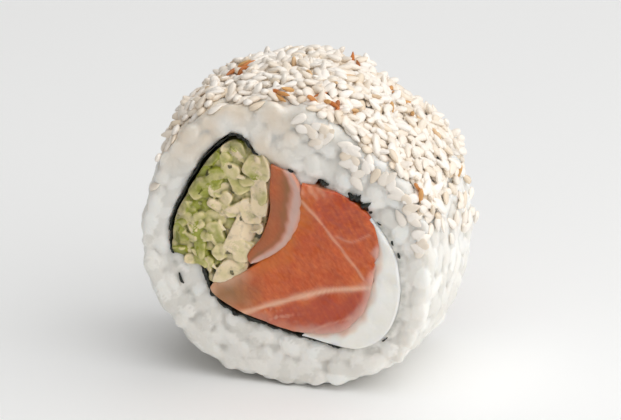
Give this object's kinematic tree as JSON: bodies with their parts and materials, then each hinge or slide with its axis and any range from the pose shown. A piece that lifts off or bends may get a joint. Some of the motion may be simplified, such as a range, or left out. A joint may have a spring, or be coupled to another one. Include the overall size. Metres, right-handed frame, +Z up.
{
  "type": "uramaki roll",
  "caption": "One slice of inside-out sushi roll: rice with sesame round a nori sheet, filled with salmon, cucumber batons and cream cheese, lying on its rounded side",
  "frame": {"origin": "under the middle of the slice, on the surface that it rests on", "axes": "+Z up, the roll's own axis along Y with the shown cut facing -Y, +X to the right as the shown cut is seen"},
  "size_m": [0.0492, 0.0278, 0.047],
  "materials": {
    "rice": "pressed moist rice grains under white sesame",
    "nori": "moist, near black",
    "salmon": "wet cut flesh with pale fat lines",
    "cucumber": "moist cut batons, pale inside, green at the skin",
    "cream_cheese": "smooth, slightly smeared"
  },
  "bodies": {
    "root": {"rice": "rice", "nori": "nori", "salmon": "salmon", "salmon_strip": "salmon", "cucumber": "cucumber", "cream_cheese": "cream_cheese"}
  },
  "joints": []
}
